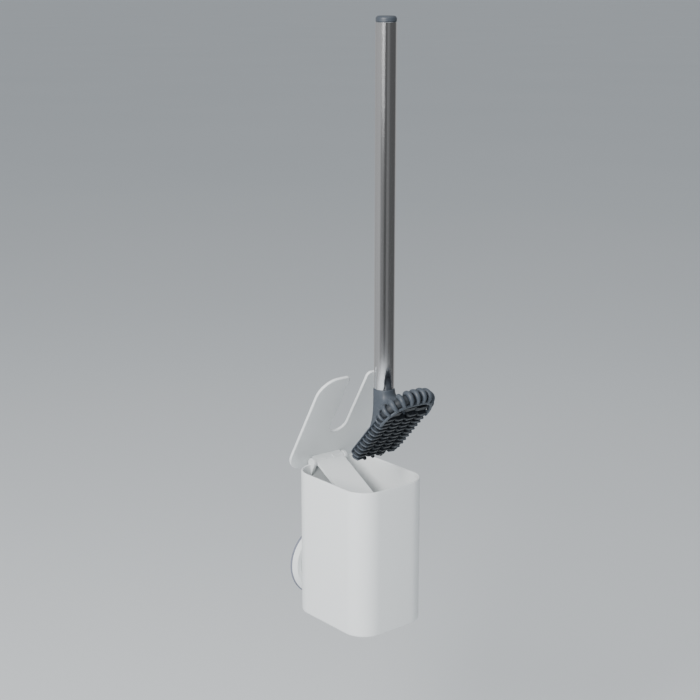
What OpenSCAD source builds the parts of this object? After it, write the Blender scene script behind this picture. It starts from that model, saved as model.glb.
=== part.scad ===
// Wall-hung toilet brush holder: adhesive wall disc, hung container, slotted flip lid and brush.
// Millimetres. Origin: centre of the wall pad's back face. +Z up, the front faces -Y.
// The lid stands open and the brush is held above the container; the lid's parts are drawn
// closed and turned open about the hinge, and the brush head is drawn flat and then tilted.

/* [Wall mount] */
// Diameter of the adhesive pad on the wall
pad_d = 67.5; // [60:0.5:80]
// Thickness of the adhesive pad
pad_t = 1.4; // [0.8:0.1:2]
// How far the pad shows around the disc
pad_margin = 1; // [0:0.25:3]
// Thickness of the disc
disc_t = 4; // [3:0.1:5]
// Width of the disc's front bevel
disc_bevel = 3.2; // [1:0.2:6]
// Diameter of the hub plate let into the disc
hub_d = 50; // [34:0.5:52]
// Thickness of the hub plate
hub_t = 1; // [0.6:0.1:2]
// Diameter of the stud's neck
neck_d = 12; // [9:0.5:16]
// Diameter of the stud's head
stud_d = 20; // [18:0.5:26]
// Thickness of the stud's head
stud_t = 2.2; // [1.8:0.1:2.6]
// Shank diameter of the screw through the stud
mount_screw_d = 4; // [3:0.5:5]

/* [Container] */
// Outer width
box_w = 77.6; // [64:0.2:110]
// Outer depth, front to back
box_d = 95.3; // [78:0.1:130]
// Height
box_h = 131.4; // [105:0.2:200]
// Radius of the four upright corners
box_r = 20.6; // [8:0.2:28]
// Thickness of the side walls
wall = 2; // [1.4:0.1:3]
// Thickness of the floor
floor_t = 2.2; // [1.4:0.1:4]
// Rounding of the bottom edge
foot_r = 1.5; // [1:0.5:6]
// Gap between the wall and the container's back
wall_gap = 10.4; // [10:0.1:16]
// How far the container's bottom lies below the wall disc's centre
box_drop = 34; // [30:0.5:60]

/* [Hanger] */
// Width of the plate that slides over the stud
hanger_w = 44; // [40:0.5:56]
// Height of the plate above the stud's centre
hanger_up = 16; // [13:0.5:20]
// Height of the plate below the stud's centre
hanger_down = 24; // [18:0.5:28]
// Distance of the two hanger screws from the middle
hanger_screw_x = 16.5; // [14:0.25:19]
// Shank diameter of the hanger screws
hanger_screw_d = 3; // [2:0.5:4]

/* [Hinge] */
// Distance of the hinge axis in front of the container's back face
hinge_in = 2.7; // [2:0.1:5]
// Height of the hinge axis above the rim
hinge_up = 1.1; // [0:0.1:4]
// Space between the two ears
ear_gap = 32; // [26:0.5:40]
// Thickness of each ear
ear_t = 3.1; // [2:0.1:4]
// Radius of the rounded top of each ear
ear_r = 4.6; // [3.6:0.1:4.7]
// Diameter of the hinge pin
pin_d = 3.2; // [2.4:0.1:4]
// Outer diameter of the lid's hinge barrel
barrel_d = 7.4; // [6:0.1:8]
// Wire diameter of the lid spring
wire_d = 0.8; // [0.5:0.1:1]
// Number of turns of the lid spring
spring_turns = 9; // [5:1:10]

/* [Lid] */
// Width of the lid
lid_w = 81.6; // [66:0.2:116]
// Thickness of the lid
lid_t = 2.7; // [2:0.1:4]
// Height of the lid's underside above the hinge axis
lid_lift = 5; // [5:0.1:8]
// How far the lid reaches behind the hinge axis
lid_back = 10.6; // [6:0.1:10.6]
// How far the lid reaches in front of the container
lid_over = 5.4; // [0:0.2:10]
// Radius of the two rear corners
lid_rear_r = 20; // [5:0.5:26]
// Radius of the two front corners
lid_front_r = 18; // [5:0.5:22]
// Rounding of the corners at the slot's mouth
lid_mouth_r = 4; // [1:0.5:8]
// Width of the slot for the handle
slot_w = 19.3; // [18:0.1:26]
// Angle of the open lid
lid_open = 60; // [0:1:60]
// Width of the lever arm under the lid
arm_w = 30.2; // [24:0.2:31]
// Thickness of the lever arm
arm_t = 2.5; // [2:0.1:4]
// Length of the lever arm below the lid
arm_len = 88; // [50:1:100]

/* [Brush] */
// Outer diameter of the handle tube
tube_d = 17.1; // [14:0.1:17.5]
// Wall of the handle tube
tube_wall = 0.8; // [0.5:0.1:1.5]
// Length of the handle tube
tube_len = 301.3; // [240:0.1:380]
// Height of the end cap above the tube
cap_h = 5; // [2:0.5:10]
// Distance of the handle's axis in front of the wall
handle_out = 89.2; // [84:0.1:96]
// Height of the tube's lower end above the wall disc's centre
collar_up = 181.1; // [178:0.1:220]
// Height of the head's collar over its sole, along the handle
collar_h = 51.5; // [46:0.5:62]
// Angle between the head's sole and the horizontal
head_tilt = 47.8; // [40:0.1:55]
// Width of the head over the ribs round its toe
toe_w = 60; // [52:0.5:68]
// Width of the head over its side fins
side_w = 54; // [46:0.5:60]
// Reach of the head from the handle's axis to the heel
heel_len = 20; // [16:0.5:26]
// Reach of the head from the handle's axis to the toe
toe_len = 71; // [62:0.5:74]
// Distance from one row of flaps to the next
row_pitch = 5.4; // [4:0.1:7]
// Thickness of a flap
flap_t = 2; // [1:0.1:3]
// Height of the flaps
flap_h = 6; // [3:0.1:8]
// Thickness of the pad that the flaps stand on
pad_body_t = 4; // [3:0.1:6]

/* [Fits] */
// Radial clearance of the pin in the lid's barrel
pin_fit = 0.05; // [0.01:0.01:0.1]
// Radial clearance of screws and pins in their own body
fixed_fit = 0.02; // [0:0.01:0.1]
// Clearance around the stud in the hanger plate
stud_fit = 0.3; // [0.1:0.05:0.5]
// Gap between the disc and the hanger plate
plate_gap = 0.5; // [0.3:0.1:1]
// Side gap between the lid's barrel and the ears
barrel_gap = 0.4; // [0.2:0.1:1]
// Gap between the closed lever arm and the back wall
arm_gap = 1.3; // [1:0.1:2]

/* [Hidden] */
$fn = 96;
hull_fn = 32;
eps = 0.01;

// Wall mount, from the wall to the front
disc_d = pad_d - 2 * pad_margin;
disc_front = -pad_t - disc_t;
hub_inset = 0.2;
hub_front = disc_front + hub_inset;
back_y = -wall_gap;
stud_front = back_y + stud_fit;
stud_back = stud_front + stud_t;
screw_head_d = 2 * mount_screw_d;
screw_head_t = 1.2;
screw_bite = 0.6;

// Container
front_y = back_y - box_d;
mid_y = (back_y + front_y) / 2;
box_bottom = -box_drop;
rim_z = box_bottom + box_h;
back_in_y = back_y - wall;
hanger_back = disc_front - plate_gap;
channel_back = stud_back + stud_fit;
hanger_screw_z = -12;
hanger_screw_head_t = 1.8;
hanger_bite = 3.4;

// Hinge
pivot_y = back_y - hinge_in;
pivot_z = rim_z + hinge_up;
ear_foot = 11;
notch_z = pivot_z - barrel_d / 2 - 0.8;
pin_skin = 0.9;
pin_end_gap = 0.2;
pin_half = ear_gap / 2 + ear_t - pin_skin - pin_end_gap;
coil_w = spring_turns * wire_d;
coil_d = pin_d + 2 * wire_d + 0.6;
spring_leg = 12;
spring_room = 0.5;

// Handle, and where it stands when the brush is stored
handle_y = -handle_out;
stored_shift = 36;
slot_back = 0.25;
slot_y = handle_y + stored_shift + slot_back;
lid_rear_y = pivot_y + lid_back;
lid_front_y = front_y - lid_over;
lid_z = pivot_z + lid_lift;
arm_back_y = back_in_y - arm_gap;
collar_d = tube_d + 1.8;
plug_len = 12;
plug_d = tube_d - 2 * tube_wall - 2 * fixed_fit;
spigot_up = 30;
spigot_down = 20;
sole_z = collar_up - collar_h;

// Head, in its own frame: -Y towards the toe, +Z out of its back, 0 at the flap tips' plane
pad_z = flap_h;
pad_top = pad_z + pad_body_t;
fin_out = 2;
pad_w = side_w - 2 * fin_out;
bumper_w = 9;
bumper_low = 1;
bumper_top = pad_top + 5;
bumper_back = 40;
toe_r = 28;
heel_r = 12;
fin_spine = 0.8;
fin_first = heel_len - 6;
rows = floor((bumper_back + fin_first) / row_pitch);
groove_w = 1.6;
groove_deep = 2.2;
ribs_side = 2;
ribs_round = 10;
nub_d = 3.6;
nub_low = 0.5;
nub_x = [-12, 0, 12];

// Rounded rectangle centred on x = 0, from y0 up to y1, with radii r0 and r1 at the two ends
module plate_2d(w, y0, y1, r0, r1) {
    translate([-w / 2, y0 + r0]) square([w, y1 - y0 - r0 - r1]);
    translate([-w / 2 + r0, y0]) square([w - 2 * r0, r0 + eps]);
    translate([-w / 2 + r1, y1 - r1 - eps]) square([w - 2 * r1, r1 + eps]);
    for (side = [-1, 1]) {
        translate([side * (w / 2 - r0), y0 + r0]) circle(r = r0);
        translate([side * (w / 2 - r1), y1 - r1]) circle(r = r1);
    }
}

// Cylinder along Y from y0 to y1
module rod_y(d, y0, y1) {
    translate([0, max(y0, y1), 0]) rotate([90, 0, 0]) cylinder(d = d, h = abs(y1 - y0));
}

// Cylinder along X from x0 to x1, on the hinge axis
module rod_x(d, x0, x1) {
    translate([x0, pivot_y, pivot_z]) rotate([0, 90, 0]) cylinder(d = d, h = x1 - x0);
}

// Turns the closed lid's parts to where they stand open
module open_lid() {
    translate([0, pivot_y, pivot_z]) rotate([-lid_open, 0, 0]) translate([0, -pivot_y, -pivot_z])
        children();
}

// Places the head's own frame on the handle's axis
module at_head() {
    translate([0, handle_y, sole_z]) rotate([-head_tilt, 0, 0]) children();
}

module wall_pad() {
    color("lightslategray") rod_y(pad_d, 0, -pad_t);
}

module mount_disc() {
    color("white") difference() {
        rotate([90, 0, 0]) rotate_extrude() polygon([
            [0, pad_t], [disc_d / 2, pad_t], [disc_d / 2, -disc_front - disc_bevel],
            [disc_d / 2 - disc_bevel, -disc_front], [0, -disc_front]]);
        rod_y(hub_d + 2 * fixed_fit, disc_front - 1, hub_front + hub_t);
        rod_y(mount_screw_d + 2 * fixed_fit, disc_front - 1, -pad_t - screw_bite);
    }
}

module mount_hub() {
    color("gainsboro") difference() {
        rod_y(hub_d, hub_front, hub_front + hub_t);
        rod_y(mount_screw_d + 2 * fixed_fit, hub_front - 1, hub_front + hub_t + 1);
    }
}

module mount_stud() {
    color("silver") difference() {
        union() {
            rod_y(neck_d, stud_back - eps, hub_front);
            rod_y(stud_d, stud_front, stud_back);
        }
        rod_y(mount_screw_d + 2 * fixed_fit, stud_front - 1, hub_front + 1);
        rod_y(screw_head_d + 2 * fixed_fit, stud_front - 1, stud_front + screw_head_t + hub_inset);
    }
}

module mount_screw() {
    head_y = stud_front + screw_head_t + hub_inset;
    color("dimgray") {
        rod_y(mount_screw_d, head_y - eps, -pad_t - screw_bite - hub_inset);
        rod_y(screw_head_d, head_y - screw_head_t, head_y);
    }
}

// One corner of the container's foot: a disc with a rounded lower edge
module foot_corner() {
    rotate_extrude($fn = hull_fn) polygon(concat(
        [[0, 0]],
        [for (a = [0:15:90]) [box_r - foot_r + foot_r * sin(a), foot_r - foot_r * cos(a)]],
        [[0, foot_r]]));
}

module container_shell() {
    color("white") difference() {
        union() {
            translate([0, 0, box_bottom + foot_r]) linear_extrude(box_h - foot_r)
                plate_2d(box_w, front_y, back_y, box_r, box_r);
            hull() for (sx = [-1, 1]) for (y = [front_y + box_r, back_y - box_r])
                translate([sx * (box_w / 2 - box_r), y, box_bottom]) foot_corner();
            for (side = [-1, 1]) ear(side);
        }
        difference() {
            translate([0, 0, box_bottom + floor_t]) linear_extrude(box_h)
                plate_2d(box_w - 2 * wall, front_y + wall, back_in_y, box_r - wall, box_r - wall);
            for (side = [-1, 1]) ear(side);
        }
        translate([-ear_gap / 2, back_in_y - 1, notch_z]) cube([ear_gap, wall + 2, box_h]);
        rod_x(pin_d + 2 * fixed_fit, -pin_half - pin_end_gap, pin_half + pin_end_gap);
        for (side = [-1, 1]) translate([side * hanger_screw_x, 0, hanger_screw_z])
            rod_y(hanger_screw_d + 2 * fixed_fit, back_in_y - 1, back_y + 1);
    }
}

// Upright ear on the back wall that carries one end of the hinge pin
module ear(side) {
    x0 = side > 0 ? ear_gap / 2 : -ear_gap / 2 - ear_t;
    translate([x0, 0, 0]) rotate([90, 0, 90]) linear_extrude(ear_t) {
        translate([pivot_y, pivot_z]) circle(r = ear_r);
        polygon([[pivot_y - ear_r, pivot_z], [back_in_y, rim_z - ear_foot], [back_y, rim_z - ear_foot],
            [back_y, rim_z - ear_r], [pivot_y + ear_r, pivot_z]]);
    }
}

module hanger_plate() {
    color("whitesmoke") difference() {
        translate([0, back_y, 0]) rotate([90, 0, 0]) mirror([0, 0, 1])
            linear_extrude(hanger_back - back_y)
            plate_2d(hanger_w, -hanger_down, hanger_up, 3, 8);
        hanger_slot(stud_d + 2 * stud_fit, back_y - 1, channel_back);
        hanger_slot(neck_d + 2 * stud_fit, channel_back - eps, 0);
        for (side = [-1, 1]) translate([side * hanger_screw_x, 0, hanger_screw_z])
            rod_y(hanger_screw_d + 2 * fixed_fit, back_y - 1, back_y + hanger_bite);
    }
}

// Slot with a round top around the stud's axis, open at its lower end
module hanger_slot(w, y0, y1) {
    rod_y(w, y0, y1);
    translate([-w / 2, y0, -hanger_down - 1]) cube([w, y1 - y0, hanger_down + 1]);
}

module hanger_screw(side) {
    color("silver") translate([side * hanger_screw_x, 0, hanger_screw_z]) {
        rod_y(hanger_screw_d, back_in_y - eps, back_y + hanger_bite - hub_inset);
        rod_y(2 * hanger_screw_d, back_in_y - hanger_screw_head_t, back_in_y);
    }
}

module hinge_pin() {
    color("silver") rod_x(pin_d, -pin_half, pin_half);
}

module lid_spring() {
    color("silver") {
        translate([-coil_w / 2, pivot_y, pivot_z]) rotate([0, 90, 0]) rotate_extrude() {
            for (i = [0:spring_turns - 1])
                translate([coil_d / 2 - wire_d / 2, (i + 0.5) * wire_d * 0.98]) circle(d = wire_d, $fn = 24);
            translate([coil_d / 2 - wire_d / 2 - wire_d / 4, wire_d / 2])
                square([wire_d / 2, coil_w * 0.98 - wire_d]);
        }
        translate([coil_w / 2 - wire_d, back_in_y - wire_d / 2 - 0.05, pivot_z - coil_d / 2 - spring_leg])
            cylinder(d = wire_d, h = spring_leg + wire_d / 2, $fn = 24);
    }
}

// Outline of the closed lid, with the slot from the front edge to behind the stored handle
module lid_2d() {
    difference() {
        plate_2d(lid_w, lid_front_y, lid_rear_y, lid_front_r, lid_rear_r);
        translate([0, slot_y]) circle(d = slot_w);
        translate([-slot_w / 2, lid_front_y - 1]) square([slot_w, slot_y - lid_front_y + 1]);
        translate([-slot_w / 2 - lid_mouth_r, lid_front_y - 1])
            square([slot_w + 2 * lid_mouth_r, lid_mouth_r + 1]);
    }
    for (side = [-1, 1]) translate([side * (slot_w / 2 + lid_mouth_r), lid_front_y + lid_mouth_r])
        circle(r = lid_mouth_r);
}

module lid_plate() {
    color("white") open_lid() translate([0, 0, lid_z]) linear_extrude(lid_t) lid_2d();
}

module lever_arm() {
    half = ear_gap / 2 - barrel_gap;
    color("white") open_lid() difference() {
        union() {
            translate([-arm_w / 2, arm_back_y - arm_t, lid_z - arm_len]) cube([arm_w, arm_t, arm_len]);
            rod_x(barrel_d, -half, half);
        }
        rod_x(pin_d + 2 * pin_fit, -half - 1, half + 1);
        translate([-coil_w / 2 - spring_room, arm_back_y - arm_t - 1, pivot_z - barrel_d / 2 - 1])
            cube([coil_w + 2 * spring_room, barrel_d + 4, barrel_d + 1]);
    }
}

module handle_tube() {
    color("gainsboro") translate([0, handle_y, collar_up]) difference() {
        cylinder(d = tube_d, h = tube_len);
        translate([0, 0, -1]) cylinder(d = tube_d - 2 * tube_wall, h = tube_len + 2);
    }
}

// Domed cap with a plug inside the tube's upper end
module end_cap() {
    r = tube_d / 2;
    dome = cap_h * 0.55;
    color("slategray") translate([0, handle_y, collar_up + tube_len]) rotate_extrude() polygon(concat(
        [[0, -plug_len], [plug_d / 2, -plug_len], [plug_d / 2, 0], [r, 0]],
        [for (a = [0:10:90]) [r - dome + dome * cos(a), cap_h - dome + dome * sin(a)]],
        [[0, cap_h]]));
}

module neck_spigot() {
    color("dimgray") translate([0, handle_y, collar_up - spigot_down])
        cylinder(d = plug_d, h = spigot_down + spigot_up);
}

// Ring of the toe's bumper in plan, in the head's own frame
module bumper_2d() {
    difference() {
        plate_2d(toe_w, -toe_len, heel_len, toe_r, heel_r);
        plate_2d(toe_w - 2 * bumper_w, -toe_len + bumper_w, heel_len + 1, toe_r - bumper_w, heel_r);
        translate([-toe_w, -bumper_back]) square([2 * toe_w, bumper_back + heel_len + 1]);
    }
}

// Soft body: a flat pad that narrows to the round collar under the handle
module head_body() {
    color("slategray") difference() {
        union() {
            hull() {
                neck_disc(collar_d, collar_h - 2, 2);
                neck_disc(collar_d + 1, collar_h - 12, 1);
            }
            hull() {
                neck_disc(collar_d + 1, collar_h - 12, 1);
                at_head() translate([0, 0, pad_top + 8]) linear_extrude(1)
                    neck_2d();
            }
            hull() {
                at_head() translate([0, 0, pad_top + 8]) linear_extrude(1)
                    neck_2d();
                at_head() translate([0, 0, pad_top - 1]) linear_extrude(2)
                    plate_2d(pad_w - 2, -toe_len + bumper_w + 4, heel_len - 1, 18, heel_r, $fn = hull_fn);
            }
            at_head() translate([0, 0, pad_z]) linear_extrude(pad_body_t)
                plate_2d(pad_w, -toe_len + bumper_w, heel_len, 18, heel_r);
        }
        at_head() translate([0, 0, bumper_low - 1]) linear_extrude(bumper_top) bumper_2d();
        translate([0, handle_y, collar_up - spigot_down])
            cylinder(d = plug_d + 2 * fixed_fit, h = spigot_down + 1);
    }
}

// Cross-section of the neck between the collar and the pad, in the head's own frame
module neck_2d() {
    plate_2d(28, -36, -2, 13, 13, $fn = hull_fn);
}

// Horizontal disc of the neck, at a height over the sole along the handle
module neck_disc(d, up, t) {
    translate([0, handle_y, sole_z + up]) cylinder(d = d, h = t, $fn = hull_fn);
}

// Ring around the toe, with grooves between its ribs
module toe_bumper() {
    color("slategray") at_head() difference() {
        translate([0, 0, bumper_low]) linear_extrude(bumper_top - bumper_low) bumper_2d();
        for (side = [-1, 1]) for (i = [0:ribs_side])
            translate([side * toe_w / 2, -bumper_back - (i + 0.5) * row_pitch, bumper_top / 2])
                cube([2 * groove_deep, groove_w, 2 * bumper_top], center = true);
    }
}

// Row of upright blades along one long side, on a thin spine
module side_fins(side) {
    x0 = side * (pad_w / 2 + fin_spine / 2);
    color("slategray") at_head() {
        translate([x0, (fin_first - bumper_back) / 2, pad_top / 2])
            cube([fin_spine, fin_first + bumper_back - 2 * eps, pad_top], center = true);
        for (i = [0:rows - 1])
            translate([side * (pad_w / 2 + fin_out / 2), fin_first - (i + 0.5) * row_pitch, pad_top / 2])
                cube([fin_out, flap_t, pad_top], center = true);
    }
}

// Field of flaps under the pad: one blade per row, on a thin common skin
module flap_pad() {
    skin = 1;
    color("darkslategray") at_head() intersection() {
        linear_extrude(pad_z) plate_2d(pad_w, -toe_len + bumper_w + 3, heel_len, 20, heel_r);
        difference() {
            union() {
                translate([-pad_w / 2, -toe_len, pad_z - skin]) cube([pad_w, toe_len + heel_len, skin]);
                for (i = [-5:rows])
                    translate([-pad_w / 2, fin_first - (i + 0.5) * row_pitch - flap_t / 2, 0])
                        cube([pad_w, flap_t, pad_z]);
            }
            translate([0, 0, -1]) linear_extrude(pad_z + 2) bumper_2d();
        }
    }
}

// Short round nubs that hang from the pad's heel edge
module heel_nubs() {
    color("darkslategray") at_head() {
        translate([-pad_w / 2 + heel_r, heel_len, pad_z]) cube([pad_w - 2 * heel_r, 1, pad_body_t / 2]);
        for (x = nub_x) translate([x, heel_len + nub_d / 2, nub_low]) cylinder(d = nub_d, h = pad_z);
    }
}

wall_pad();
mount_disc();
mount_hub();
mount_stud();
mount_screw();
container_shell();
hanger_plate();
hanger_screw(-1);  // hanger_screw_left
hanger_screw(1);  // hanger_screw_right
hinge_pin();
lid_spring();
lid_plate();
lever_arm();
handle_tube();
end_cap();
neck_spigot();
head_body();
toe_bumper();
side_fins(-1);  // side_fins_left
side_fins(1);  // side_fins_right
flap_pad();
heel_nubs();
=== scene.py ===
"""Looks of the wall-hung toilet brush holder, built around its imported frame."""

import logging
import math
from dataclasses import dataclass
from enum import Enum
from typing import Any, Callable, Iterable, Sequence

import bmesh
import bpy
from mathutils import Matrix, Vector


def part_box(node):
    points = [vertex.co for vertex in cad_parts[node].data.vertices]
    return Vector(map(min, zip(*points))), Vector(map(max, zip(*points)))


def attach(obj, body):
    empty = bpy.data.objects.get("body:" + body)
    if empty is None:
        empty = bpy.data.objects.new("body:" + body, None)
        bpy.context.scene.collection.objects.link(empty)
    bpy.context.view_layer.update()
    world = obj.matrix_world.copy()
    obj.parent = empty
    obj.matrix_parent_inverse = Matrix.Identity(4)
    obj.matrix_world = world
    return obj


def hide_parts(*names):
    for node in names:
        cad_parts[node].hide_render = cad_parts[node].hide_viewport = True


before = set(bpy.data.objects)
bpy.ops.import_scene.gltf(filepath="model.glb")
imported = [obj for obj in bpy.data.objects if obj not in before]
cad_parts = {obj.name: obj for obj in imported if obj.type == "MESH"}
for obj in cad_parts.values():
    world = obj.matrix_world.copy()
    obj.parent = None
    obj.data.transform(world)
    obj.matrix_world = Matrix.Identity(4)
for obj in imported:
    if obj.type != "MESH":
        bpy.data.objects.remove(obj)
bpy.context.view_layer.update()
LOG = logging.getLogger("brush_holder")
MM = 0.001
Flat = tuple[float, float]
Colour = tuple[float, float, float]


class Slot(Enum):
    """Material slots of the record."""

    PAD = "pad_rubber"
    WHITE = "white_plastic"
    HUB = "hub_plastic"
    LID = "lid_plastic"
    STEEL = "fastener_steel"
    CHROME = "tube_chrome"
    CAP = "grey_plastic"
    SILICONE = "silicone"


class Body(Enum):
    """Bodies that move on their own."""

    MOUNT = "mount"
    CONTAINER = "container"
    LID = "lid"
    BRUSH = "brush"


# Shading

@dataclass(frozen=True)
class Wire:
    """One output of a node, on which maths is written with Python's operators."""

    graph: "Graph"
    socket: bpy.types.NodeSocket

    def maths(self, operation: str, left: Any, right: Any) -> "Wire":
        """Adds one Math node.

        Args:
            operation: name of the Math node's operation.
            left: first value, a number or a wire.
            right: second value, a number or a wire.

        Returns:
            The wire of the result.
        """
        return self.graph.node("ShaderNodeMath", {"operation": operation}, {0: left, 1: right})

    def __add__(self, other: Any) -> "Wire":
        """Sum."""
        return self.maths("ADD", self, other)

    def __sub__(self, other: Any) -> "Wire":
        """Difference."""
        return self.maths("SUBTRACT", self, other)

    def __rsub__(self, other: Any) -> "Wire":
        """Difference from a number."""
        return self.maths("SUBTRACT", other, self)

    def __mul__(self, other: Any) -> "Wire":
        """Product."""
        return self.maths("MULTIPLY", self, other)

    __radd__ = __add__
    __rmul__ = __mul__

    def __truediv__(self, other: Any) -> "Wire":
        """Quotient."""
        return self.maths("DIVIDE", self, other)


class Graph:
    """The node tree of one material or of the world."""

    def __init__(self, tree: bpy.types.NodeTree) -> None:
        """Empties the tree."""
        self.tree = tree
        tree.nodes.clear()

    def node(self, kind: str, settings: dict[str, Any] | None = None,
             values: dict[Any, Any] | None = None, output: Any = 0) -> Wire:
        """Adds a node.

        Args:
            kind: the node's type.
            settings: the node's own properties, and "stops" for a ramp.
            values: numbers, colours or wires for its inputs, by name or place.
            output: name or place of the output that is wanted.

        Returns:
            The wire of that output.
        """
        made = self.tree.nodes.new(kind)
        for name, value in (settings or {}).items():
            if name == "stops":
                self.set_stops(made.color_ramp, value)
            else:
                setattr(made, name, value)
        for name, value in (values or {}).items():
            if isinstance(value, Wire):
                self.tree.links.new(value.socket, made.inputs[name])
            else:
                made.inputs[name].default_value = value
        return Wire(self, made.outputs[output] if len(made.outputs) else None)

    @staticmethod
    def set_stops(ramp: bpy.types.ColorRamp, stops: Sequence[tuple[float, float]]) -> None:
        """Gives a grey ramp its stops, each a place and a grey level."""
        while len(ramp.elements) > 1:
            ramp.elements.remove(ramp.elements[-1])
        ramp.elements[0].position = stops[0][0]
        for place, _ in stops[1:]:
            ramp.elements.new(place)
        for element, (_, grey) in zip(ramp.elements, stops):
            element.color = (grey, grey, grey, 1)

    def place(self) -> Wire:
        """The point on the object, in metres."""
        return self.node("ShaderNodeTexCoord", output="Object")

    def noise(self, scale: float, detail: float = 3.0, stretch: Colour = (1, 1, 1)) -> Wire:
        """Noise from 0 to 1 in the object's own space.

        Args:
            scale: cells per metre.
            detail: octaves.
            stretch: factors on the three axes, below 1 to draw the noise out.

        Returns:
            The wire of the noise.
        """
        spot = self.node("ShaderNodeMapping", {}, {"Vector": self.place(), "Scale": stretch})
        return self.node("ShaderNodeTexNoise", {}, {"Vector": spot, "Scale": scale, "Detail": detail})

    def blend(self, mask: Any, first: Any, second: Any) -> Wire:
        """Mixes two colours by a mask."""
        full = [(*c, 1) if isinstance(c, tuple) else c for c in (first, second)]
        return self.node("ShaderNodeMix", {"data_type": "RGBA"}, {0: mask, 6: full[0], 7: full[1]}, output=2)

    def bump(self, height: Any, depth: float) -> Wire:
        """Normal from a height in the range 0 to 1 and its depth in metres."""
        return self.node("ShaderNodeBump", {}, {"Height": height, "Distance": depth, "Strength": 1.0},
                         output="Normal")

    def surface(self, shader: Wire) -> None:
        """Puts a shader on the tree's output."""
        self.node("ShaderNodeOutputMaterial", {}, {"Surface": shader})


@dataclass(frozen=True)
class Finish:
    """A finish with its colour; each kind of finish paints its own nodes."""

    name: str
    slot: Slot
    colour: Colour
    roughness: float
    specular: float = 0.5

    def material(self) -> bpy.types.Material:
        """Makes the material once and returns it."""
        if self.name in bpy.data.materials:
            return bpy.data.materials[self.name]
        made = bpy.data.materials.new(self.name)
        made.use_nodes = True
        graph = Graph(made.node_tree)
        graph.surface(graph.node("ShaderNodeBsdfPrincipled", {}, self.sockets(graph)))
        return made

    def sockets(self, graph: Graph) -> dict[str, Any]:
        """Values of the shader's sockets."""
        raise NotImplementedError

    def shade(self, factor: float) -> Colour:
        """The finish's colour, lighter or darker."""
        return tuple(min(1.0, part * factor) for part in self.colour)


@dataclass(frozen=True)
class MouldedPlastic(Finish):
    """Fine-grained moulded plastic with faint flow marks."""

    grain: float = 900.0

    def sockets(self, graph: Graph) -> dict[str, Any]:
        """Cloudy colour, a fine spark-eroded grain and slight gloss changes."""
        cloud = graph.noise(14.0, 2.0)
        grain = graph.noise(self.grain, 2.0)
        flow = graph.noise(60.0, 4.0, (1.0, 1.0, 0.25))
        return {
            "Base Color": graph.blend(cloud, self.shade(0.97), self.shade(1.02)),
            "Roughness": self.roughness + 0.10 * (flow - 0.5) + 0.05 * (grain - 0.5),
            "Specular IOR Level": self.specular,
            "Normal": graph.bump(0.7 * grain + 0.3 * flow, 0.00004),
        }


@dataclass(frozen=True)
class Silicone(Finish):
    """Soft matt silicone with a faint dusty bloom."""

    def sockets(self, graph: Graph) -> dict[str, Any]:
        """Dark base with a pale bloom in patches."""
        bloom = graph.noise(120.0, 4.0)
        speck = graph.noise(1600.0, 1.0)
        return {
            "Base Color": graph.blend(bloom, self.shade(0.86), self.shade(1.14)),
            "Roughness": self.roughness + 0.14 * (bloom - 0.5),
            "Specular IOR Level": self.specular,
            "Normal": graph.bump(0.5 * bloom + 0.5 * speck, 0.00005),
        }


@dataclass(frozen=True)
class PolishedTube(Finish):
    """Chromed tube with hairline draw marks along its length."""

    def sockets(self, graph: Graph) -> dict[str, Any]:
        """Mirror metal, drawn out along the height."""
        draw = graph.noise(1400.0, 3.0, (1.0, 1.0, 0.012))
        smear = graph.noise(25.0, 3.0, (1.0, 1.0, 0.4))
        return {
            "Base Color": graph.blend(draw, self.shade(0.92), self.shade(1.03)),
            "Metallic": 1.0,
            "Roughness": self.roughness + 0.07 * smear + 0.05 * draw,
            "Normal": graph.bump(draw, 0.000012),
        }


@dataclass(frozen=True)
class FastenerSteel(Finish):
    """Plain steel of pins, screws and springs."""

    def sockets(self, graph: Graph) -> dict[str, Any]:
        """Turned steel with small marks."""
        mark = graph.noise(500.0, 3.0)
        return {
            "Base Color": graph.blend(mark, self.shade(0.85), self.shade(1.08)),
            "Metallic": 1.0,
            "Roughness": self.roughness + 0.15 * (mark - 0.5),
            "Normal": graph.bump(mark, 0.00002),
        }


WHITE = MouldedPlastic("white_moulded", Slot.WHITE, (0.80, 0.825, 0.83), 0.42)
LID_WHITE = MouldedPlastic("lid_moulded", Slot.LID, (0.80, 0.825, 0.83), 0.45)
HUB_GREY = MouldedPlastic("hub_moulded", Slot.HUB, (0.66, 0.70, 0.68), 0.5)
CAP_GREY = MouldedPlastic("cap_moulded", Slot.CAP, (0.056, 0.067, 0.083), 0.4, grain=1400.0)
PAD_GREY = Silicone("pad_rubber_skin", Slot.PAD, (0.19, 0.205, 0.26), 0.55)
SLATE = Silicone("slate_silicone", Slot.SILICONE, (0.056, 0.068, 0.085), 0.5)
# Painted shade: the slate silicone darkened, for the down-facing flaps, the bead in the grooves between the
# toe ribs and the nubs under the heel.
SLATE_PAINTED_SHADE = Silicone("slate_silicone_painted_shade", Slot.SILICONE, (0.025, 0.030, 0.037), 0.55)
CHROME = PolishedTube("drawn_chrome", Slot.CHROME, (0.72, 0.73, 0.75), 0.07)
STEEL = FastenerSteel("turned_steel", Slot.STEEL, (0.5, 0.5, 0.5), 0.35)


# Meshes

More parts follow.
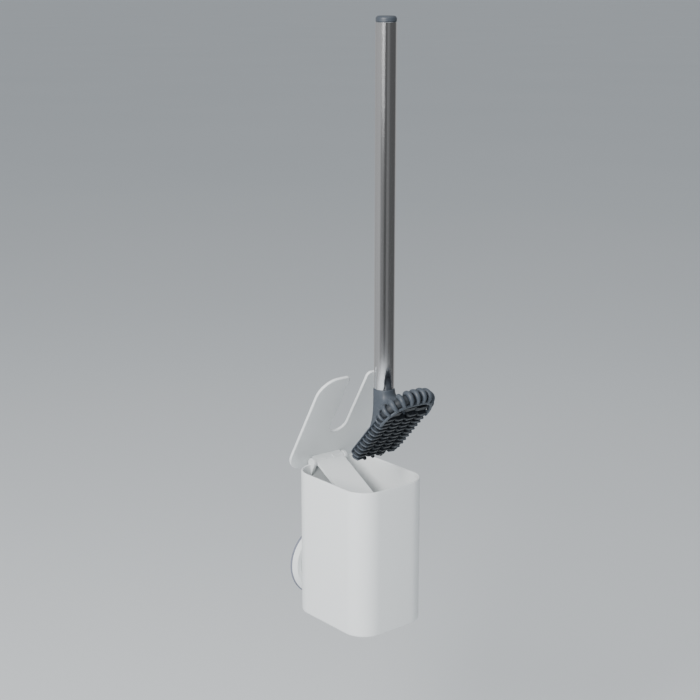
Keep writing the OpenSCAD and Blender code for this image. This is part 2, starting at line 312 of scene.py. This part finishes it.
def piece(name: str, mesh: bmesh.types.BMesh, body: Body, finish: Finish, replaced: Sequence[str] = (),
          bevel: float = 0.0, sharp: float = 35.0) -> bpy.types.Object:
    """Makes an object of a mesh, dresses it and lets it ride.

    Args:
        name: the piece's name.
        mesh: its mesh in metres, which is freed.
        body: the body it rides on.
        finish: its finish.
        replaced: CAD nodes it stands for.
        bevel: width of a rounding on its sharp edges.
        sharp: angle in degrees above which an edge stays sharp.

    Returns:
        The new object.
    """
    data = bpy.data.meshes.new(name)
    bmesh.ops.remove_doubles(mesh, verts=mesh.verts, dist=1e-7)
    bmesh.ops.recalc_face_normals(mesh, faces=mesh.faces)
    mesh.to_mesh(data)
    mesh.free()
    data.polygons.foreach_set("use_smooth", [True] * len(data.polygons))
    data.set_sharp_from_angle(angle=math.radians(sharp))
    data.materials.append(finish.material())
    made = bpy.data.objects.new(name, data)
    bpy.context.collection.objects.link(made)
    if bevel:
        rounding = made.modifiers.new("edge_rounding", "BEVEL")
        rounding.width = bevel
        rounding.segments = 3
        rounding.limit_method = "ANGLE"
        rounding.angle_limit = math.radians(40)
        rounding.harden_normals = True
    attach(made, body.value)
    if replaced:
        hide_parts(*replaced)
    LOG.info("%s: %d faces on %s", name, len(data.polygons), body.value)
    return made


def arc(x: float, y: float, radius: float, start: float, end: float, steps: int = 10) -> list[Flat]:
    """Points on an arc, from one angle in degrees to another."""
    turns = [math.radians(start + (end - start) * i / steps) for i in range(steps + 1)]
    return [(x + radius * math.cos(a), y + radius * math.sin(a)) for a in turns]


def rounded(width: float, low: float, high: float, low_r: float, high_r: float,
            steps: int = 12) -> list[Flat]:
    """Outline of a rounded rectangle centred on x = 0, with its own radius at each end."""
    half = width / 2
    return (arc(half - high_r, high - high_r, high_r, 0, 90, steps)
            + arc(high_r - half, high - high_r, high_r, 90, 180, steps)
            + arc(low_r - half, low + low_r, low_r, 180, 270, steps)
            + arc(half - low_r, low + low_r, low_r, 270, 360, steps))


def add_loft(mesh: bmesh.types.BMesh, loops: Sequence[Sequence[Sequence[float]]], caps: bool = True,
             ring: bool = False) -> None:
    """Skins a run of closed loops that have as many points each.

    Args:
        mesh: the mesh that is added to.
        loops: the loops in order.
        caps: whether the two ends are closed with one face each.
        ring: whether the last loop joins the first.
    """
    rows = [[mesh.verts.new(point) for point in loop] for loop in loops]
    count = len(rows[0])
    pairs = list(zip(rows, rows[1:])) + ([(rows[-1], rows[0])] if ring else [])
    for low, high in pairs:
        for i in range(count):
            j = (i + 1) % count
            mesh.faces.new((low[i], low[j], high[j], high[i]))
    if caps and not ring:
        mesh.faces.new(rows[0][::-1])
        mesh.faces.new(rows[-1])


def add_slab(mesh: bmesh.types.BMesh, outline: Sequence[Flat], low: float, high: float,
             place: Callable[[float, float, float], Sequence[float]]) -> None:
    """Extrudes an outline between two heights, with each point put in place by a function."""
    add_loft(mesh, [[place(x, y, level) for x, y in outline] for level in (low, high)])


def lathe(profile: Sequence[Flat], centre: Sequence[float], along_y: bool = False,
          steps: int = 96) -> bmesh.types.BMesh:
    """Turns a closed profile of radii and heights about an axis.

    Args:
        profile: radius and height of each point.
        centre: point on the axis that the heights count from.
        along_y: True for an axis along Y, False for one along Z.
        steps: points round the turn.

    Returns:
        The new mesh.
    """
    mesh = bmesh.new()
    loops = []
    for i in range(steps):
        turn = 2 * math.pi * i / steps
        spots = [(r * math.cos(turn), r * math.sin(turn), h) for r, h in profile]
        loops.append([Vector((a, h, b) if along_y else (a, b, h)) + Vector(centre) for a, b, h in spots])
    add_loft(mesh, loops, ring=True)
    bmesh.ops.remove_doubles(mesh, verts=mesh.verts, dist=1e-7)
    bmesh.ops.dissolve_degenerate(mesh, edges=mesh.edges, dist=1e-8)
    return mesh


def add_tube(mesh: bmesh.types.BMesh, path: Sequence[Vector], radii: Sequence[float], side: Vector,
             steps: int = 12, squash: float = 1.0) -> None:
    """Sweeps a round or oval section along a path that lies in one plane.

    Args:
        mesh: the mesh that is added to.
        path: points of the centre line.
        radii: the radius at each point.
        side: unit normal of the path's plane.
        steps: points round the section.
        squash: factor on the section across the path's plane.
    """
    loops = []
    for i, spot in enumerate(path):
        ahead = (path[min(i + 1, len(path) - 1)] - path[max(i - 1, 0)]).normalized()
        out = side.cross(ahead).normalized()
        turns = [2 * math.pi * k / steps for k in range(steps)]
        loops.append([spot + radii[i] * (math.cos(a) * out + squash * math.sin(a) * side) for a in turns])
    add_loft(mesh, loops)


# Sub-assemblies

@dataclass
class WallMount:
    """Adhesive pad, bevelled disc and hub on the wall."""

    edge: float = 0.5 * MM
    bevel: float = 3.2 * MM
    hub_gap: float = 0.15 * MM

    def build(self) -> None:
        """Makes the two turned pieces, the pad and the disc."""
        low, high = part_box("wall_pad")
        radius, centre = (high[0] - low[0]) / 2, (0, 0, 0)
        depth = -low[1]
        turned = [(0, 0), (radius - self.edge, 0), *arc(radius - self.edge, -self.edge, self.edge, 90, 0, 4),
                  *arc(radius - self.edge, self.edge - depth, self.edge, 0, -90, 4), (0, -depth)]
        piece("pad", lathe(turned, centre, True), Body.MOUNT, PAD_GREY, ["wall_pad"])
        low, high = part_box("mount_disc")
        radius, front, back = (high[0] - low[0]) / 2, low[1], high[1]
        hub_low, hub_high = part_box("mount_hub")
        hub_r = (hub_high[0] - hub_low[0]) / 2
        turned = [(0, back), (radius, back), (radius, front + self.bevel),
                  (radius - self.bevel, front), (hub_r + self.hub_gap, front),
                  (hub_r + self.hub_gap, hub_high[1]), (0, hub_high[1])]
        piece("disc", lathe(turned, centre, True), Body.MOUNT, WHITE, ["mount_disc"], bevel=0.4 * MM)


@dataclass
class Container:
    """Square tub with round corners, an open top and two hinge ears."""

    corner: float = 20.6 * MM
    wall: float = 2.0 * MM
    floor: float = 2.2 * MM
    foot: float = 1.5 * MM
    notch_half: float = 16.0 * MM
    notch_step: float = 0.25 * MM
    notch_drop: float = 3.4 * MM
    ear_r: float = 4.6 * MM
    ear_t: float = 3.1 * MM
    ear_foot: float = 11.0 * MM
    rim: float = 97.4 * MM
    pivot: Flat = (-13.1 * MM, 98.5 * MM)

    def __post_init__(self) -> None:
        """Reads the tub's outer faces from the frame."""
        low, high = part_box("container_shell")
        self.width = high[0] - low[0]
        self.front, self.bottom = low[1], low[2]
        self.back = self.pivot[0] + 2.7 * MM

    def loop(self, inset: float, level: float, at_rim: bool = False) -> list[tuple[float, float, float]]:
        """One level outline of the wall.

        Args:
            inset: distance inside the outer face.
            level: height.
            at_rim: whether the level dips in the notch between the ears.

        Returns:
            Points of the outline.
        """
        radius = self.corner - inset
        steps = 12
        flat = rounded(self.width - 2 * inset, self.front + inset, self.back - inset, radius, radius, steps)
        wide, narrow = self.notch_half + self.notch_step, self.notch_half
        notch = [(x, self.back - inset) for x in (wide, narrow, -narrow, -wide)]
        first_bend = steps + 1
        flat[first_bend:first_bend] = notch
        return [(x, y, level - (self.notch_drop if at_rim and (x, y) in notch[1:3] else 0)) for x, y in flat]

    def build(self) -> None:
        """Makes the tub and its ears."""
        lip = self.wall / 2
        outer = [self.loop(self.foot - dx, self.bottom + self.foot + dz)
                 for dx, dz in arc(0, 0, self.foot, 270, 360, 8)]
        rim = [self.loop(lip - dx, self.rim - lip + dz, True) for dx, dz in arc(0, 0, lip, 0, 180, 8)]
        base = self.bottom + self.floor + self.foot
        inner = [self.loop(self.wall + self.foot - dx, base + dz)
                 for dx, dz in arc(0, 0, self.foot, 0, -90, 8)]
        band = [self.loop(0, self.rim - 12 * MM), self.loop(0, self.rim - 6 * MM)]
        inside = [self.loop(self.wall, self.rim - 6 * MM), self.loop(self.wall, self.rim - 12 * MM)]
        mesh = bmesh.new()
        add_loft(mesh, outer + band + rim + inside + inner)
        piece("tub", mesh, Body.CONTAINER, WHITE, ["container_shell"], sharp=50)
        for side, name in ((-1, "left"), (1, "right")):
            self.ear(side, name)

    def ear(self, side: int, name: str) -> None:
        """Makes the ear on one side."""
        y, z = self.pivot
        foot = self.rim - self.ear_foot
        outline = arc(y, z, self.ear_r, 0, 180, 16) + [(self.back - self.wall + 0.1 * MM, foot),
                                                       (self.back - 0.3 * MM, foot)]
        inner = side * self.notch_half
        mesh = bmesh.new()
        add_slab(mesh, outline, inner, inner + side * self.ear_t, lambda a, b, x: (x, a, b))
        piece(f"ear_{name}", mesh, Body.CONTAINER, WHITE, bevel=0.5 * MM)


@dataclass
class FlipLid:
    """Slotted lid and its lever arm, drawn closed and turned open."""

    width: float = 81.6 * MM
    thick: float = 2.7 * MM
    lift: float = 5.0 * MM
    reach_back: float = 10.6 * MM
    front: float = -111.1 * MM
    rear_r: float = 20.0 * MM
    front_r: float = 18.0 * MM
    mouth_r: float = 4.0 * MM
    slot_w: float = 19.3 * MM
    slot_y: float = -53.0 * MM
    open_angle: float = 60.0
    arm_w: float = 30.2 * MM
    arm_t: float = 2.5 * MM
    arm_len: float = 88.0 * MM
    arm_back: float = -13.7 * MM
    barrel_r: float = 3.7 * MM
    barrel_half: float = 15.6 * MM
    spring_half: float = 4.1 * MM
    pivot: Flat = (-13.1 * MM, 98.5 * MM)

    def opened(self, x: float, y: float, z: float) -> Vector:
        """Where a point of the closed lid stands on the open lid."""
        turn = Matrix.Rotation(math.radians(-self.open_angle), 3, "X")
        axis = Vector((0, *self.pivot))
        return turn @ (Vector((x, y, z)) - axis) + axis

    def build(self) -> None:
        """Makes the plate and the arm."""
        half, gap, rear = self.width / 2, self.slot_w / 2, self.pivot[0] + self.reach_back
        front, mouth = self.front, self.mouth_r
        outline = (arc(half - self.front_r, front + self.front_r, self.front_r, 270, 360, 14)
                   + arc(half - self.rear_r, rear - self.rear_r, self.rear_r, 0, 90, 14)
                   + arc(self.rear_r - half, rear - self.rear_r, self.rear_r, 90, 180, 14)
                   + arc(self.front_r - half, front + self.front_r, self.front_r, 180, 270, 14)
                   + arc(-gap - mouth, front + mouth, mouth, 270, 360, 6)
                   + arc(0, self.slot_y, gap, 180, 0, 24)
                   + arc(gap + mouth, front + mouth, mouth, 180, 270, 6))
        under = self.pivot[1] + self.lift
        mesh = bmesh.new()
        add_slab(mesh, outline, under, under + self.thick, self.opened)
        piece("lid", mesh, Body.LID, LID_WHITE, ["lid_plate"], bevel=0.7 * MM)
        self.arm(under)

    def arm(self, under: float) -> None:
        """Makes the lever arm with its two hinge knuckles."""
        back = self.arm_back
        mesh = bmesh.new()
        tip = rounded(self.arm_w, under - self.arm_len, under, 3 * MM, 0.05 * MM, 6)
        add_slab(mesh, tip, back - self.arm_t, back, lambda x, z, y: self.opened(x, y, z))
        y, z = self.pivot
        for low, high in ((-self.barrel_half, -self.spring_half), (self.spring_half, self.barrel_half)):
            add_slab(mesh, arc(y, z, self.barrel_r, 0, 360 - 11.25, 31), low, high,
                     lambda a, b, x: self.opened(x, a, b))
        piece("lever", mesh, Body.LID, LID_WHITE, ["lever_arm"], bevel=0.45 * MM)


@dataclass
class LongHandle:
    """Chromed tube with its domed cap."""

    edge: float = 0.4 * MM
    dome: float = 2.6 * MM

    def build(self) -> None:
        """Makes the tube and the cap."""
        low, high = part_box("handle_tube")
        radius = (high[0] - low[0]) / 2
        centre = ((low[0] + high[0]) / 2, (low[1] + high[1]) / 2, 0)
        bore = radius - 0.8 * MM
        profile = [(bore, low[2]), *arc(radius - self.edge, low[2] + self.edge, self.edge, 270, 360, 4),
                   *arc(radius - self.edge, high[2] - self.edge, self.edge, 0, 90, 4), (bore, high[2])]
        piece("tube", lathe(profile, centre, steps=128), Body.BRUSH, CHROME, ["handle_tube"])
        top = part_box("end_cap")[1][2]
        foot = high[2] + 0.05 * MM
        profile = [(0, foot), (radius - 0.5 * MM, foot), (radius - 0.5 * MM, foot + 0.3 * MM),
                   (radius, foot + 0.5 * MM), *arc(radius - self.dome, top - self.dome, self.dome, 0, 90, 10),
                   (0, top)]
        piece("cap", lathe(profile, centre), Body.BRUSH, CAP_GREY, ["end_cap"])


@dataclass
class BrushHead:
    """Soft head: a neck that flares into a pad, ribs round the toe, fins, flaps and nubs."""

    tilt: float = 47.8
    sole: float = 129.6 * MM
    collar_r: float = 9.2 * MM
    pad_half: float = 25.2 * MM
    toe_half: float = 30.0 * MM
    heel: float = -19.6 * MM
    toe: float = 71.0 * MM
    toe_r: float = 26.0 * MM
    pad_low: float = 6.0 * MM
    pad_high: float = 8.6 * MM
    pad_step: float = 5.5 * MM
    pitch: float = 5.4 * MM
    rib_pitch: float = 6.3 * MM
    rim_in: float = 8.0 * MM
    rim_mid: float = 6.4 * MM
    rib_reach: float = 5.2 * MM
    rib_rise: float = 5.6 * MM
    rib_fat: float = 2.35 * MM
    rib_thin: float = 1.0 * MM
    side_start: float = 38.0 * MM
    lip_half: float = 24.8 * MM
    lip_toe: float = 61.0 * MM
    lip_r: float = 19.0 * MM
    columns: int = 4
    flap_pitch: float = 12.3 * MM
    flap_t: float = 2.5 * MM
    flap_gap: float = 1.4 * MM
    lip_to_flap: float = 8.0 * MM
    big_flap_pitch: float = 14.0 * MM
    big_flap_w: float = 12.8 * MM
    big_flap_t: float = 4.2 * MM
    big_flap_low: float = 1.6 * MM
    big_flap_back: float = 3.5 * MM
    fin_t: float = 1.6 * MM
    fin_root: float = 7.5 * MM
    fin_in: float = 1.0 * MM
    fin_bulge: float = 1.8 * MM
    fin_down: float = 1.2 * MM
    fin_low: float = -0.3 * MM
    fin_taper: float = 0.6 * MM
    nub_pitch: float = 9.0 * MM

    def __post_init__(self) -> None:
        """Reads the handle's axis and the collar's height from the frame."""
        low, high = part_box("handle_tube")
        self.axis_y = (low[1] + high[1]) / 2
        self.collar = low[2]
        turn = math.radians(self.tilt)
        self.ahead = Vector((0, -math.cos(turn), math.sin(turn)))
        self.upward = Vector((0, math.sin(turn), math.cos(turn)))

    def spot(self, x: float, along: float, up: float) -> Vector:
        """A point of the head's own frame: across, towards the toe and out of its back."""
        return Vector((x, self.axis_y, self.sole)) + along * self.ahead + up * self.upward

    def build(self) -> None:
        """Makes all the soft pieces."""
        self.neck()
        self.toe_core()
        self.toe_ribs()
        self.lip()
        self.fins(-1, "left")
        self.fins(1, "right")
        self.flaps()
        self.nubs()

    def pad_outline(self, inset: float) -> list[Flat]:
        """Outline of the pad in plan, as across and along."""
        return rounded(2 * (self.pad_half - inset), self.heel + inset, self.toe - self.rim_in - inset,
                       13 * MM, 20 * MM, 15)

    def neck(self) -> None:
        """Flares from the round collar to the pad, and closes the pad below."""
        centre = Vector((0, self.axis_y, self.collar))
        ends = [self.spot(x, along, self.pad_high) for x, along in self.pad_outline(0)]
        flats = [Vector((end.x, end.y - self.axis_y, 0)).normalized() for end in ends]
        starts = [centre + self.collar_r * flat - Vector((0, 0, 0.8 * MM)) for flat in flats]
        heart = self.spot(0, 12 * MM, self.pad_high)
        flare = 14
        loops = [[centre + share * self.collar_r * flat - Vector((0, 0, drop * MM)) for flat in flats]
                 for share, drop in ((0.9, 0.0), (0.955, 0.08), (0.988, 0.35))]
        for step in range(flare + 1):
            t = step / flare
            loop = []
            for start, end in zip(starts, ends):
                gap = (end - start).length
                first = start - Vector((0, 0, 0.42 * gap))
                second = end + 0.42 * gap * (heart - end).normalized() + 0.05 * gap * self.upward
                loop.append((1 - t) ** 3 * start + 3 * t * (1 - t) ** 2 * first
                            + 3 * t * t * (1 - t) * second + t ** 3 * end)
            loops.append(loop)
        for inset, level in ((0.0, self.pad_high - 0.8 * MM), (self.pad_step, self.pad_high - 2.0 * MM),
                             (self.pad_step, self.pad_low - 1.0 * MM)):
            loops.append([self.spot(x, along, level) for x, along in self.pad_outline(inset)])
        mesh = bmesh.new()
        add_loft(mesh, loops)
        piece("neck_and_pad", mesh, Body.BRUSH, SLATE, ["head_body"], sharp=60)

    def rim(self, half: float, toe: float, radius: float, pitch: float) -> list[tuple[Vector, Vector, float]]:
        """Stations at even pitch along a path round the toe, from the left side to the right.

        Args:
            half: half of the path's width.
            toe: the path's reach ahead.
            radius: radius of its two bends.
            pitch: distance between stations, which is rounded to fit.

        Returns:
            For each station its point on the sole, the outward direction and its share of the whole path.
        """
        side, bend, straight = toe - radius - self.side_start, math.pi / 2 * radius, 2 * (half - radius)
        total = 2 * side + 2 * bend + straight
        count = round(total / pitch)
        stations = []
        for i in range(count + 1):
            run = total * i / count
            mirrored = run > total / 2
            short = total - run if mirrored else run
            if short <= side:
                across, along, angle = -half, self.side_start + short, math.pi
            elif short <= side + bend:
                angle = math.pi - (short - side) / radius
                across = radius - half + radius * math.cos(angle)
                along = toe - radius + radius * math.sin(angle)
            else:
                across, along, angle = radius - half + short - side - bend, toe, math.pi / 2
            flip = -1 if mirrored else 1
            out = Vector((flip * math.cos(angle), math.sin(angle)))
            stations.append((Vector((flip * across, along)), out, run / total))
        return stations

    def rim_centre(self, pitch: float) -> list[tuple[Vector, Vector, float]]:
        """Stations along the middle of the toe's rim."""
        return self.rim(self.toe_half - self.rim_in, self.toe - self.rim_in, self.toe_r - self.rim_in, pitch)

    def toe_core(self) -> None:
        """Solid bead that the ribs stand on."""
        mesh = bmesh.new()
        loops = []
        for spot, out, share in self.rim_centre(3 * MM):
            grow = min(1.0, 0.7 + 2.0 * min(share, 1 - share))
            turns = [2 * math.pi * k / 24 for k in range(24)]
            loops.append([self.spot(spot.x + 0.74 * self.rib_reach * grow * math.cos(a) * out.x,
                                    spot.y + 0.74 * self.rib_reach * grow * math.cos(a) * out.y,
                                    self.rim_mid + 0.74 * self.rib_rise * grow * math.sin(a)) for a in turns])
        add_loft(mesh, loops)
        # The bead wears the darkened silicone as painted shade, so the grooves between the ribs read
        # near-black.
        piece("toe_core", mesh, Body.BRUSH, SLATE_PAINTED_SHADE, sharp=70)

    def toe_ribs(self) -> None:
        """Fat ribs that wrap the toe's rim from the back to the lip, thin at the two ends of the row."""
        mesh = bmesh.new()
        for spot, out, share in self.rim_centre(self.rib_pitch):
            far = min(share, 1 - share)
            grow = min(1.0, 0.78 + 1.5 * far)
            fat = self.rib_thin + (self.rib_fat - self.rib_thin) * min(1.0, far / 0.24)
            path, radii = [], []
            for k in range(15):
                turn = math.radians(118 - 214 * k / 14)
                flat = spot + self.rib_reach * grow * math.cos(turn) * out
                path.append(self.spot(flat.x, flat.y, self.rim_mid + self.rib_rise * grow * math.sin(turn)))
                radii.append(fat * (0.45 + 0.55 * math.sin(math.pi * (k + 1.2) / 15.4)))
            across = -out.y * Vector((1, 0, 0)) + out.x * self.ahead
            add_tube(mesh, path, radii, across.normalized(), 14)
        piece("toe_ribs", mesh, Body.BRUSH, SLATE, ["toe_bumper"], sharp=70)

    def lip(self) -> None:
        """Smooth lip that borders the ribs on the sole side."""
        mesh = bmesh.new()
        loops = []
        for spot, out, _ in self.rim(self.lip_half, self.lip_toe, self.lip_r, 3 * MM):
            centre = self.spot(spot.x, spot.y, 0.9 * MM)
            across = out.x * Vector((1, 0, 0)) + out.y * self.ahead
            turns = [2 * math.pi * k / 14 for k in range(14)]
            loops.append([centre + 1.5 * MM * math.cos(a) * across + 1.1 * MM * math.sin(a) * self.upward
                          for a in turns])
        add_loft(mesh, loops)
        piece("toe_lip", mesh, Body.BRUSH, SLATE, sharp=70)

    def fins(self, side: int, name: str) -> None:
        """Thin upright blades along one side, each with a bulging outer edge."""
        mesh = bmesh.new()
        inner, edge_x = self.pad_half - self.fin_root, self.pad_half - self.fin_in
        top = self.pad_high - self.fin_down
        low, steps = self.fin_low, 10
        edge = [(inner, top)]
        for t in range(steps + 1):
            swell = self.fin_bulge * math.sin(math.pi * (0.1 + 0.8 * t / steps))
            edge.append((edge_x + swell - self.fin_taper * t / steps, top - (top - low) * t / steps))
        edge.append((inner, low + self.fin_taper))
        count = round((self.side_start + 3 * MM - self.heel) / self.pitch)
        for i in range(count):
            along = self.heel + 3.4 * MM + i * self.pitch
            narrow = 3.4 * MM * max(0.0, 1 - i / 1.6) ** 1.5
            outline = [(side * (x - narrow), up) for x, up in edge]
            add_slab(mesh, outline, along - self.fin_t / 2, along + self.fin_t / 2,
                     lambda x, up, s: self.spot(x, s + 0.35 * (self.pad_high - up) - 1.2 * MM, up))
        piece(f"fins_{name}", mesh, Body.BRUSH, SLATE, [f"side_fins_{name}"], bevel=0.4 * MM)

    def flaps(self) -> None:
        """Field of thin flaps: a first row of three large ones, then offset columns."""
        mesh = bmesh.new()
        skin = rounded(2 * (self.pad_half - 5.0 * MM), self.heel + 4.0 * MM, self.toe - self.rim_in - 1 * MM,
                       11 * MM, 19 * MM, 10)
        add_slab(mesh, skin, self.pad_low - 0.8 * MM, self.pad_low + 0.3 * MM, self.spot)
        first = self.lip_toe - self.lip_to_flap
        for i in (-1, 0, 1):
            behind = 0.0 if i == 0 else self.big_flap_back
            self.flap(mesh, i * self.big_flap_pitch, first - behind, self.big_flap_w, self.big_flap_t,
                      self.big_flap_low)
        rows = int((first - self.heel) / self.pitch)
        for column in range(self.columns):
            x = (column - (self.columns - 1) / 2) * self.flap_pitch
            shift = (0.5 if column % 2 else 0.0) * self.pitch
            for row in range(rows):
                along = first - 8.5 * MM - shift - row * self.pitch
                if along > self.heel + (2.5 if abs(x) < self.flap_pitch else 5.5) * MM:
                    self.flap(mesh, x, along, self.flap_pitch - self.flap_gap, self.flap_t, 0.0)
        # The flaps and their skin wear the darkened silicone as painted shade for their down-facing faces.
        piece("flaps", mesh, Body.BRUSH, SLATE_PAINTED_SHADE, ["flap_pad"], bevel=0.7 * MM)

    def flap(self, mesh: bmesh.types.BMesh, x: float, along: float, width: float, thick: float,
             low: float) -> None:
        """Adds one flap with rounded lower corners."""
        outline = [(x + a, b) for a, b in rounded(width, low, self.pad_low, 2.8 * MM, 0.2 * MM, 5)]
        add_slab(mesh, outline, along - thick / 2, along + thick / 2,
                 lambda a, up, s: self.spot(a, s, up))

    def nubs(self) -> None:
        """Short round nubs under the heel's edge."""
        mesh = bmesh.new()
        for x in (-self.nub_pitch, 0.0, self.nub_pitch):
            path = [self.spot(x, self.heel + 0.6 * MM, up * MM) for up in (7.6, 5.0, 2.4, 1.0, 0.6)]
            radii = [1.5 * MM, 1.75 * MM, 1.8 * MM, 1.3 * MM, 0.4 * MM]
            add_tube(mesh, path, radii, Vector((1, 0, 0)), 14)
        # The nubs under the heel wear the darkened silicone as painted shade.
        piece("nubs", mesh, Body.BRUSH, SLATE_PAINTED_SHADE, ["heel_nubs"], sharp=60)


@dataclass
class Studio:
    """Floor, soft lights, reflections for the metal, and the camera."""

    floor_z: float = -0.30
    lens: float = 74.92
    eye: tuple[float, float, float] = (-0.7765, -0.9827, 0.5138)
    turn: float = 39.60
    dip: float = 14.21

    def build(self) -> None:
        """Sets up all of it."""
        self.camera()
        self.floor()
        self.world()
        self.screen()
        self.light("key", (-1.9, -0.75, 1.25), 1.3, 80.0, (1.0, 0.995, 0.985))
        self.light("front", (-0.4, -2.4, 1.1), 1.6, 2.0, (0.97, 0.985, 1.0))
        self.light("top", (0.3, -0.6, 2.4), 1.6, 9.0, (1.0, 1.0, 1.0))

    def camera(self) -> None:
        """Makes the camera and sets it as the scene's."""
        data = bpy.data.cameras.new("camera")
        data.lens = self.lens
        data.clip_end = 1000
        made = bpy.data.objects.new("camera", data)
        made.location = self.eye
        made.rotation_euler = (math.radians(90 - self.dip), 0, math.radians(-self.turn))
        bpy.context.collection.objects.link(made)
        bpy.context.scene.camera = made

    def floor(self) -> None:
        """Makes a wide pale floor with a faint cloudiness."""
        mesh = bmesh.new()
        bmesh.ops.create_grid(mesh, x_segments=2, y_segments=2, size=300)
        data = bpy.data.meshes.new("floor")
        mesh.to_mesh(data)
        mesh.free()
        made = bpy.data.objects.new("floor", data)
        made.location = (0, 0, self.floor_z)
        bpy.context.collection.objects.link(made)
        paint = bpy.data.materials.new("pale_floor")
        paint.use_nodes = True
        graph = Graph(paint.node_tree)
        cloud = graph.noise(0.8, 2.0)
        colour = graph.blend(cloud, (0.70, 0.725, 0.74), (0.74, 0.76, 0.775))
        graph.surface(graph.node("ShaderNodeBsdfPrincipled", {}, {"Base Color": colour, "Roughness": 0.9}))
        data.materials.append(paint)

    def world(self) -> None:
        """Even pale light from all round."""
        world = bpy.data.worlds.new("soft_room")
        world.use_nodes = True
        bpy.context.scene.world = world
        graph = Graph(world.node_tree)
        sky = graph.node("ShaderNodeBackground", {}, {"Color": (0.90, 0.95, 1.0, 1), "Strength": 0.50})
        graph.node("ShaderNodeOutputWorld", {}, {"Surface": sky})

    def screen(self) -> None:
        """Ring that only reflections see: bright at the back like a wall, dark in front like a room."""
        mesh = bmesh.new()
        steps, radius = 96, 1.1
        low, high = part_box("handle_tube")
        centre = Vector((0, (low[1] + high[1]) / 2, 0))
        rows = []
        for level in (self.floor_z + 0.005, 1.3):
            turns = [2 * math.pi * i / steps for i in range(steps)]
            rows.append([centre + Vector((radius * math.cos(a), radius * math.sin(a), level)) for a in turns])
        add_loft(mesh, rows, caps=False)
        data = bpy.data.meshes.new("reflection_ring")
        mesh.to_mesh(data)
        mesh.free()
        made = bpy.data.objects.new("reflection_ring", data)
        bpy.context.collection.objects.link(made)
        made.visible_camera = False
        made.visible_diffuse = False
        made.visible_shadow = False
        made.visible_transmission = False
        paint = bpy.data.materials.new("reflection_glow")
        paint.use_nodes = True
        graph = Graph(paint.node_tree)
        spot = graph.node("ShaderNodeVectorMath", {"operation": "SUBTRACT"}, {0: graph.place(), 1: centre})
        split = graph.node("ShaderNodeSeparateXYZ", {}, {0: spot}, output=0)
        y = Wire(graph, split.socket.node.outputs[1])
        turn = split.maths("ARCTAN2", y, split) / (2 * math.pi)
        share = turn.maths("WRAP", turn, 1.0)
        share.socket.node.inputs[2].default_value = 0.0
        glow = graph.node("ShaderNodeValToRGB", {"stops": [
            (0.0, 0.30), (0.03, 0.42), (0.44, 0.50), (0.475, 0.46), (0.50, 0.26), (0.585, 0.20), (0.61, 0.11),
            (0.655, 0.10), (0.69, 0.22), (0.74, 0.19), (0.77, 0.12), (0.96, 0.11), (0.985, 0.2)]},
            {0: share})
        light = graph.node("ShaderNodeEmission", {}, {"Color": glow, "Strength": 1.0})
        graph.surface(light)
        data.materials.append(paint)

    def light(self, name: str, spot: tuple[float, float, float], size: float, power: float,
              colour: Colour) -> None:
        """Adds a square soft light that points at the object."""
        data = bpy.data.lights.new(name, "AREA")
        data.shape = "SQUARE"
        data.size = size
        data.energy = power
        data.color = colour
        made = bpy.data.objects.new(name, data)
        made.location = spot
        aim = Vector((0, -0.06, 0.12)) - Vector(spot)
        made.rotation_euler = aim.to_track_quat("-Z", "Y").to_euler()
        bpy.context.collection.objects.link(made)


DRESSED: dict[str, Finish] = {
    "mount_hub": HUB_GREY, "mount_stud": STEEL, "mount_screw": STEEL, "hanger_plate": WHITE,
    "hanger_screw_left": STEEL, "hanger_screw_right": STEEL, "hinge_pin": STEEL,
    "lid_spring": STEEL, "neck_spigot": CAP_GREY,
}


def dress(nodes: Iterable[str]) -> None:
    """Gives each kept CAD node the finish of its kind."""
    for name in nodes:
        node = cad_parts[name]
        if not node.material_slots:
            node.data.materials.append(None)
        for holder in node.material_slots:
            holder.link = "OBJECT"
            holder.material = DRESSED[name].material()
        LOG.info("%s: dressed", name)


def main() -> None:
    """Builds the studio and each sub-assembly in order."""
    logging.basicConfig(level=logging.INFO, format="%(message)s")
    Studio().build()
    for assembly in (WallMount(), Container(), FlipLid(), LongHandle(), BrushHead()):
        assembly.build()
    dress(DRESSED)


if __name__ == "__main__":
    main()
